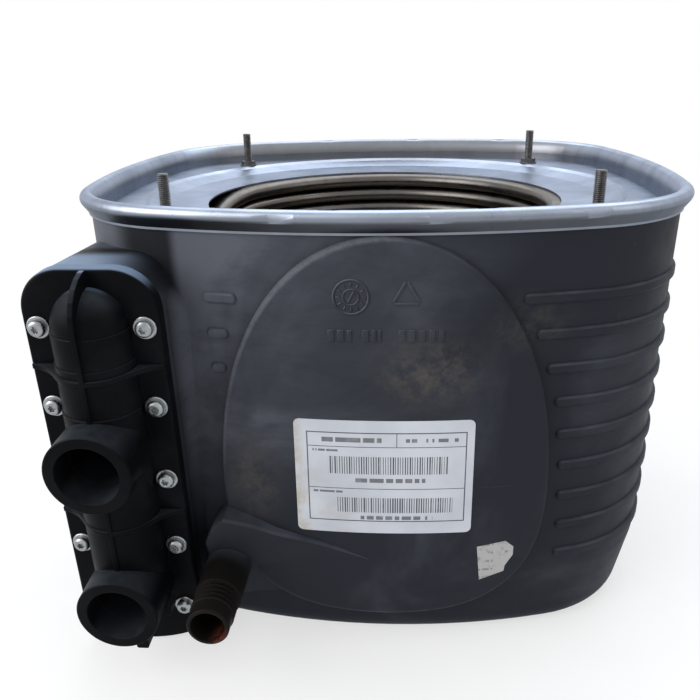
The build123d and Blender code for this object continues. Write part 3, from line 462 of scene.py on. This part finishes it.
def label_finish():
    finish = Finish("label_film", (0.62, 0.64, 0.69), 0.36)
    across, along = label_place(finish)
    rules = [(6.3, 86.3, 57.9, 58.5), (6.3, 86.3, 7.0, 7.6), (6.3, 6.9, 7.0, 58.5), (85.7, 86.3, 7.0, 58.5),
             (6.3, 86.3, 50.2, 50.6), (51.3, 51.7, 50.2, 58.5), (6.3, 86.3, 26.3, 26.7)]
    ink = joined(finish, [field(finish, across, along, *rule) for rule in rules])
    for left, right, low, high, seed in ((17, 77, 35, 45, 3.0), (21, 80, 12.4, 21.2, 41.0)):
        code = finish.math("MULTIPLY", field(finish, across, along, left, right, low, high),
                           bars(finish, across, 1.22, seed, 0.22, 0.46))
        ink = finish.math("MAXIMUM", ink, code)
    rows = ((14, 44, 53.0, 55.6, 9.0, 1.15), (56, 62, 53.2, 55.2, 5.0, 0.9), (66, 82, 53.2, 55.2, 7.0, 1.0),
            (9, 22, 47.6, 48.8, 2.0, 0.7), (9, 24, 23.8, 25.0, 6.0, 0.7), (30, 66, 30.2, 32.6, 15.0, 1.2),
            (33, 70, 8.2, 10.4, 25.0, 1.2))
    for left, right, low, high, seed, pitch in rows:
        dashes = finish.math("MULTIPLY", field(finish, across, along, left, right, low, high),
                             strokes(finish, across, pitch, seed, 0.66))
        ink = finish.math("MAXIMUM", ink, finish.math("MULTIPLY", dashes, 0.85))
    faded = finish.math("MULTIPLY", ink, finish.band(finish.noise(160, 3.0), 0.2, 0.5, 0.72, 0.95))
    blotch = finish.noise(55, 5.0, 0.7)
    low_left = finish.math("MULTIPLY", finish.band(across, 38.0, 2.0), finish.band(along, 48.0, 2.0))
    edge = finish.math("MAXIMUM", finish.band(across, 6.0, 0.5), low_left)
    stain = finish.math("MULTIPLY", edge, finish.band(blotch, 0.40, 0.66))
    yellowed = finish.band(finish.noise(30, 3.0), 0.3, 0.7)
    base = finish.blend(yellowed, (0.41, 0.43, 0.475), (0.50, 0.52, 0.565))
    stained = finish.blend(finish.math("MULTIPLY", stain, 0.75), base, (0.36, 0.29, 0.17))
    finish.wire(finish.blend(faded, stained, (0.035, 0.036, 0.042)), "Base Color")
    finish.wire(finish.band(blotch, 0.3, 0.7, 0.30, 0.46), "Roughness")
    finish.relief(finish.noise(70, 3.0), 0.00015, 0.35)
    return finish


def sticker_finish():
    finish = Finish("sticker_paper", (0.55, 0.54, 0.53), 0.75)
    fibres = finish.noise(900, 4.0, 0.7)
    worn = finish.noise(170, 5.0, 0.7)
    tone = finish.blend(finish.band(worn, 0.5, 0.72), (0.36, 0.35, 0.347), (0.21, 0.20, 0.195))
    x, _, z = finish.axes()
    rows = finish.math("COMPARE", finish.math("MODULO", finish.math("MULTIPLY", z, 1000.0), 5.2), 2.6, 0.7)
    across = finish.math("MULTIPLY", x, 1000.0)
    print_left = finish.math("MULTIPLY", rows, strokes(finish, across, 0.9, 3.0, 0.5))
    print_left = finish.math("MULTIPLY", print_left, finish.band(finish.noise(90, 3.0), 0.45, 0.6, 0.0, 0.6))
    finish.wire(finish.blend(print_left, tone, (0.10, 0.095, 0.10)), "Base Color")
    finish.relief(finish.math("MULTIPLY_ADD", fibres, 0.4, worn), 0.0002, 0.7)
    return finish


# ---------------------------------------------------------------- sizes and colours

class PlasticSettings(bpy.types.PropertyGroup):
    casing: FloatVectorProperty(name="Casing Colour", description="Colour of the casing moulding",
                                subtype="COLOR", size=3, min=0, max=1, default=(0.0175, 0.0192, 0.0258))
    cover: FloatVectorProperty(name="Cover Colour", description="Colour of the manifold cover",
                               subtype="COLOR", size=3, min=0, max=1, default=(0.0030, 0.0032, 0.0039))


class SteelSettings(bpy.types.PropertyGroup):
    plate: FloatVectorProperty(name="Plate Colour", description="Colour of the stainless front plate",
                               subtype="COLOR", size=3, min=0, max=1, default=(0.335, 0.375, 0.455))
    coil: FloatVectorProperty(name="Coil Colour", description="Colour of the wound tube",
                              subtype="COLOR", size=3, min=0, max=1, default=(0.105, 0.101, 0.098))


class StudSettings(bpy.types.PropertyGroup):
    outer_radius: FloatProperty(name="Outer Radius", description="Radius over the thread's crests",
                                subtype="DISTANCE", unit="LENGTH", default=0.003, min=0.001)
    pitch: FloatProperty(name="Thread Pitch", description="Rise of one thread",
                         subtype="DISTANCE", unit="LENGTH", default=0.001, min=0.0002)
    depth: FloatProperty(name="Thread Depth", description="Depth of the thread's root",
                         subtype="DISTANCE", unit="LENGTH", default=0.0005, min=0.0001)


class MarkSettings(bpy.types.PropertyGroup):
    dial_radius: FloatProperty(name="Dial Radius", description="Radius of the moulded date dial",
                               subtype="DISTANCE", unit="LENGTH", default=0.0082, min=0.001)
    relief: FloatProperty(name="Relief", description="How far the moulded marks stand proud",
                          subtype="DISTANCE", unit="LENGTH", default=0.0007, min=0.0001)
    tick_count: IntProperty(name="Tick Count", description="Ticks round the date dial", default=12, min=2)


class StageSettings(bpy.types.PropertyGroup):
    lens: FloatProperty(name="Lens", description="Focal length of the camera in millimetres",
                        unit="CAMERA", default=38.03, min=10)
    floor_radius: FloatProperty(name="Floor Radius", description="Radius of the studio floor",
                                subtype="DISTANCE", unit="LENGTH", default=6.0, min=1)


# ---------------------------------------------------------------- operators

class HX_OT_plastic(bpy.types.Operator):
    """Finish the casing and the manifold cover"""
    bl_idname = "heat_exchanger.plastic"
    bl_label = "Plastic Mouldings"

    def execute(self, context):
        settings = context.scene.hx_plastic
        dress(["casing"], casing_finish(settings.casing))
        dress(["manifold_cover", "manifold_divider"], cover_finish(settings.cover))
        return {"FINISHED"}


class HX_OT_steel(bpy.types.Operator):
    """Finish the front plate, the coils and the hidden steel parts"""
    bl_idname = "heat_exchanger.steel"
    bl_label = "Steel Parts"

    def execute(self, context):
        settings = context.scene.hx_steel
        dress(["front_plate"], plate_finish(settings.plate))
        dress([name for name in NODES if name.startswith("coil_") and name != "coil_combs"],
              coil_finish(settings.coil))
        inner = ["coil_combs", "tie_rods", "tie_rod_nuts", "baffle_plate", "baffle_washer", "baffle_bolt",
                 "baffle_nut", "rear_plate", "tube_plate"]
        dress(inner, zinc_finish("inner_steel", (0.52, 0.51, 0.49), 0.38, 0.5))
        dress(["cover_screws", "screw_washers"], zinc_finish("screw_steel", (0.34, 0.355, 0.365), 0.30, 0.35))
        dress(["threaded_inserts"], brass_finish())
        return {"FINISHED"}


class HX_OT_seals(bpy.types.Operator):
    """Finish the rubber seals and the insulation boards"""
    bl_idname = "heat_exchanger.seals"
    bl_label = "Seals and Boards"

    def execute(self, context):
        dress(["front_seal", "cover_gasket", "tube_gasket", "flue_seal"], rubber_finish())
        dress(["baffle_insulation", "rear_insulation"], board_finish())
        return {"FINISHED"}


class HX_OT_labels(bpy.types.Operator):
    """Finish the blank label and the torn sticker"""
    bl_idname = "heat_exchanger.labels"
    bl_label = "Labels"

    def execute(self, context):
        dress(["rating_label"], label_finish())
        dress(["stock_sticker"], sticker_finish())
        return {"FINISHED"}


def thread_reach(piece, axis, outer, depth, pitch, low, tip):
    """Push a rod's side in to a helical thread: full at the crests, deep between them."""
    for vertex in piece.data.vertices:
        dx, dy = vertex.co.x - axis[0], vertex.co.y - axis[1]
        radius = math.hypot(dx, dy)
        if radius < 1e-6:
            continue
        turn = math.atan2(dy, dx) / (2 * math.pi)
        phase = ((vertex.co.z - low) / pitch - turn) % 1.0
        groove = min(1.0, max(0.0, 1.25 - abs(phase - 0.5) * 3.4))
        wanted = outer - depth * groove
        wanted = min(wanted, outer - depth * 0.4 + (tip - vertex.co.z) * 0.75)
        vertex.co.x = axis[0] + dx / radius * wanted
        vertex.co.y = axis[1] + dy / radius * wanted


class HX_OT_studs(bpy.types.Operator):
    """Cut the thread on the four burner door studs"""
    bl_idname = "heat_exchanger.studs"
    bl_label = "Door Studs"

    def execute(self, context):
        settings = context.scene.hx_studs
        low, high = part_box("door_studs")
        pitch = settings.pitch
        half = STUD_OFFSET
        deselect_all()
        bpy.ops.mesh.primitive_circle_add(vertices=28, radius=settings.outer_radius, fill_type="NGON",
                                          location=(-half, -half, low.z))
        stud = settle(name_new("threaded_studs"))
        bpy.ops.object.mode_set(mode="EDIT")
        bpy.ops.mesh.select_all(action="SELECT")
        rings = int(round((high.z - low.z) / pitch * 6))
        rise = (high.z - low.z) / rings
        for _ in range(rings):
            bpy.ops.mesh.extrude_region_move(TRANSFORM_OT_translate={"value": (0, 0, rise)})
        bpy.ops.mesh.inset(thickness=settings.outer_radius * 0.25)
        bpy.ops.transform.translate(value=(0, 0, -0.00005))
        bpy.ops.mesh.select_all(action="SELECT")
        bpy.ops.mesh.normals_make_consistent(inside=False)
        bpy.ops.object.mode_set(mode="OBJECT")
        thread_reach(stud, (-half, -half), settings.outer_radius, settings.depth, pitch, low.z, high.z)
        twins = [copied(stud, Vector(shift)) for shift in
                 ((2 * half, 0, 0), (0, 2 * half, 0), (2 * half, 2 * half, 0))]
        studs = join([stud, *twins], "threaded_studs")
        smooth(studs, 40)
        finish = zinc_finish("stud_steel", (0.135, 0.133, 0.135), 0.36, 0.5)
        studs.data.materials.append(finish.material)
        dress(["stud_collars", "door_studs"], finish)
        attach(studs, "root")
        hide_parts("door_studs")
        return {"FINISHED"}


def lay_on_pad(piece):
    """Lay a flat piece, drawn in XZ with its back at y = 0, on the bulged pad."""
    for vertex in piece.data.vertices:
        vertex.co.y += pad_depth(vertex.co.x)


def raised_bar(name, centre, size, turn, proud):
    """A small raised bar in the XZ plane, its top edges eased."""
    deselect_all()
    bpy.ops.mesh.primitive_cube_add(size=1, location=(0, 0, 0))
    bar = name_new(name)
    bar.data.transform(Matrix.Diagonal((size[0], proud * 2, size[1], 1)))
    bar.modifiers.new("Ease", "BEVEL").width = proud * 0.7
    bar.modifiers["Ease"].segments = 2
    apply_modifiers(bar)
    bar.data.transform(Matrix.Translation(centre) @ Matrix.Rotation(turn, 4, "Y"))
    return bar


def raised_ring(name, centre, radius, width, proud):
    """A raised ring round a centre in the XZ plane."""
    deselect_all()
    bpy.ops.mesh.primitive_torus_add(major_segments=72, minor_segments=10, major_radius=radius,
                                     minor_radius=width / 2, location=(0, 0, 0),
                                     rotation=(math.pi / 2, 0, 0))
    ring = settle(name_new(name))
    ring.data.transform(Matrix.Translation(centre) @ Matrix.Diagonal((1, proud * 2 / width, 1, 1)))
    return ring


class HX_OT_marks(bpy.types.Operator):
    """Mould the date dial, the triangle mark and the row of blank cavity marks on the pad"""
    bl_idname = "heat_exchanger.marks"
    bl_label = "Moulded Marks"

    def execute(self, context):
        settings = context.scene.hx_marks
        proud = settings.relief
        radius = settings.dial_radius
        dial = Vector((-0.0109, 0, up(188)))
        pieces = [raised_ring("dial_rim", dial, radius, 0.0011, proud),
                  raised_ring("dial_inner", dial, radius * 0.45, 0.0008, proud),
                  raised_bar("dial_pointer", dial, (0.0010, radius * 0.8), 0.5, proud)]
        for tick in range(settings.tick_count):
            angle = 2 * math.pi * tick / settings.tick_count
            reach = Vector((math.sin(angle), 0, math.cos(angle))) * radius * 0.74
            size = (0.0007, radius * 0.26)
            pieces.append(raised_bar(f"dial_tick_{tick}", dial + reach, size, angle, proud))
        mark = Vector((0.0148, 0, up(188.5)))
        corners = [mark + Vector((math.sin(a), 0, math.cos(a))) * 0.0075
                   for a in (0, 2 * math.pi / 3, 4 * math.pi / 3)]
        for index in range(3):
            start, stop = corners[index], corners[(index + 1) % 3]
            run = stop - start
            middle = (start + stop) / 2
            turn = math.atan2(run.x, run.z)
            pieces.append(raised_bar(f"triangle_{index}", middle, (0.0014, run.length * 0.86), turn, proud))
        widths = (3.0, 3.0, 2.2, 0, 3.0, 2.0, 1.2, 0, 0, 3.0, 3.2, 3.0, 3.0, 2.6)
        at = -0.0225
        for index, width in enumerate(widths):
            if width:
                wide = width * MM * 1.28
                pieces.append(raised_bar(f"row_{index}", Vector((at + wide / 2, 0, up(169))),
                                         (wide * 0.8, 0.0060), 0.0, proud * 0.8))
            at += (width or 2.0) * MM * 1.28 + 0.0008
        marks = join(pieces, "moulded_marks")
        lay_on_pad(marks)
        smooth(marks, 40)
        marks.data.materials.clear()
        finish = casing_finish(context.scene.hx_plastic.casing, "mark_plastic", 0.0)
        marks.data.materials.append(finish.material)
        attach(marks, "root")
        return {"FINISHED"}


def camera_matrix():
    """The camera's place and turn: 4.2 degrees to the left, 21.3 down and 1.1 of roll."""
    yaw, pitch, roll = (math.radians(a) for a in (-4.19, 21.29, -1.09))
    forward = Vector((math.sin(yaw) * math.cos(pitch), math.cos(yaw) * math.cos(pitch), -math.sin(pitch)))
    right = forward.cross(Vector((0, 0, 1))).normalized()
    over = right.cross(forward)
    cam_x = right * math.cos(roll) + over * math.sin(roll)
    cam_y = over * math.cos(roll) - right * math.sin(roll)
    turn = Matrix((cam_x, cam_y, -forward)).transposed().to_4x4()
    return Matrix.Translation((0.01214, -0.48754, up(288.82))) @ turn


def soft_light(name, place, aim, size, power, colour):
    light = bpy.data.lights.new(name, "AREA")
    light.shape = "RECTANGLE"
    light.size, light.size_y = size
    light.energy = power
    light.color = colour
    lamp = bpy.data.objects.new(name, light)
    bpy.context.scene.collection.objects.link(lamp)
    direction = Vector(aim) - Vector(place)
    lamp.location = place
    lamp.rotation_euler = direction.to_track_quat("-Z", "Y").to_euler()


def looked_at(tree):
    """One for a ray from the camera, a reflection or a clear body, zero for light on its way to a surface."""
    path = tree.nodes.new("ShaderNodeLightPath")
    direct = None
    for kind in ("Is Camera Ray", "Is Glossy Ray", "Is Transmission Ray"):
        either = tree.nodes.new("ShaderNodeMath")
        either.operation = "MAXIMUM"
        tree.links.new(path.outputs[kind], either.inputs[0])
        if direct:
            tree.links.new(direct, either.inputs[1])
        direct = either.outputs[0]
    return direct


def mixed(tree, factor, first, second):
    mix = tree.nodes.new("ShaderNodeMixShader")
    for socket, source in zip(mix.inputs, (factor, first, second)):
        tree.links.new(source, socket)
    return mix.outputs[0]


class HX_OT_stage(bpy.types.Operator):
    """Set up the pale floor, the soft lights and the camera"""
    bl_idname = "heat_exchanger.stage"
    bl_label = "Studio Stage"

    def execute(self, context):
        settings = context.scene.hx_stage
        self.add_floor(settings.floor_radius)
        self.add_world()
        soft_light("key_light", (-1.65, -0.95, 1.15), (0, 0, 0.12), (1.9, 1.7), 40, (1.0, 0.99, 0.975))
        soft_light("sky_light", (0.2, 0.8, 1.7), (0, 0, 0.15), (2.2, 1.6), 30, (0.88, 0.94, 1.0))
        soft_light("side_light", (1.5, -0.7, 0.9), (0, 0, 0.12), (1.0, 1.2), 3, (0.96, 0.98, 1.0))
        camera = bpy.data.objects.new("camera", bpy.data.cameras.new("camera"))
        bpy.context.scene.collection.objects.link(camera)
        camera.data.lens = settings.lens
        camera.data.sensor_width = 36
        camera.data.clip_start = 0.01
        camera.data.clip_end = 50
        camera.matrix_world = camera_matrix()
        context.scene.camera = camera
        context.scene.view_settings.view_transform = "Standard"
        return {"FINISHED"}

    def add_floor(self, radius):
        deselect_all()
        bpy.ops.mesh.primitive_circle_add(vertices=128, radius=radius, fill_type="NGON", location=(0, 0, 0))
        floor = settle(name_new("studio_floor"))
        finish = Finish("floor_paper", (0.80, 0.80, 0.80), 0.85)
        fibre = finish.noise(14, 4.0)
        finish.wire(finish.blend(finish.band(fibre, 0.3, 0.7), (0.80, 0.80, 0.80), (0.84, 0.84, 0.84)),
                    "Base Color")
        tree = finish.tree
        output = tree.nodes["Material Output"]
        glow = tree.nodes.new("ShaderNodeEmission")
        glow.inputs["Color"].default_value = (1, 1, 1, 1)
        length = tree.nodes.new("ShaderNodeVectorMath")
        length.operation = "LENGTH"
        tree.links.new(finish.place, length.inputs[0])
        far = finish.band(length.outputs["Value"], 0.20, 0.50, 0.62, 1.0)
        glowing = finish.math("MULTIPLY", looked_at(tree), far)
        surface = mixed(tree, glowing, finish.shader.outputs[0], glow.outputs[0])
        tree.links.new(surface, output.inputs["Surface"])
        floor.data.materials.append(finish.material)

    def add_world(self):
        world = bpy.data.worlds.new("studio")
        bpy.context.scene.world = world
        world.use_nodes = True
        tree = world.node_tree
        tree.nodes.clear()
        output = tree.nodes.new("ShaderNodeOutputWorld")
        white = tree.nodes.new("ShaderNodeBackground")
        white.inputs["Color"].default_value = (1, 1, 1, 1)
        sky = tree.nodes.new("ShaderNodeBackground")
        sky.inputs["Color"].default_value = (0.84, 0.91, 1.0, 1)
        sky.inputs["Strength"].default_value = 0.5
        shown = mixed(tree, looked_at(tree), sky.outputs[0], white.outputs[0])
        tree.links.new(shown, output.inputs["Surface"])


class HX_PT_panel(bpy.types.Panel):
    """Lists the pieces and their settings"""
    bl_idname = "HX_PT_panel"
    bl_label = "Heat Exchanger"
    bl_space_type = "VIEW_3D"
    bl_region_type = "UI"
    bl_category = "Heat Exchanger"

    def draw(self, context):
        scene = context.scene
        groups = ((HX_OT_plastic, scene.hx_plastic, ("casing", "cover")),
                  (HX_OT_steel, scene.hx_steel, ("plate", "coil")),
                  (HX_OT_seals, None, ()), (HX_OT_labels, None, ()),
                  (HX_OT_studs, scene.hx_studs, ("outer_radius", "pitch", "depth")),
                  (HX_OT_marks, scene.hx_marks, ("dial_radius", "relief", "tick_count")),
                  (HX_OT_stage, scene.hx_stage, ("lens", "floor_radius")))
        for operator, settings, names in groups:
            box = self.layout.box()
            box.operator(operator.bl_idname)
            for name in names:
                box.prop(settings, name)


CLASSES = (PlasticSettings, SteelSettings, StudSettings, MarkSettings, StageSettings, HX_OT_plastic,
           HX_OT_steel, HX_OT_seals, HX_OT_labels, HX_OT_studs, HX_OT_marks, HX_OT_stage, HX_PT_panel)
SETTINGS = {"hx_plastic": PlasticSettings, "hx_steel": SteelSettings, "hx_studs": StudSettings,
            "hx_marks": MarkSettings, "hx_stage": StageSettings}


def register():
    for item in CLASSES:
        bpy.utils.register_class(item)
    for name, group in SETTINGS.items():
        setattr(bpy.types.Scene, name, PointerProperty(type=group))


def unregister():
    for name in SETTINGS:
        delattr(bpy.types.Scene, name)
    for item in reversed(CLASSES):
        bpy.utils.unregister_class(item)


def main():
    register()
    bpy.ops.heat_exchanger.plastic()
    bpy.ops.heat_exchanger.steel()
    bpy.ops.heat_exchanger.seals()
    bpy.ops.heat_exchanger.labels()
    bpy.ops.heat_exchanger.studs()
    bpy.ops.heat_exchanger.marks()
    bpy.ops.heat_exchanger.stage()


if __name__ == "__main__":
    main()
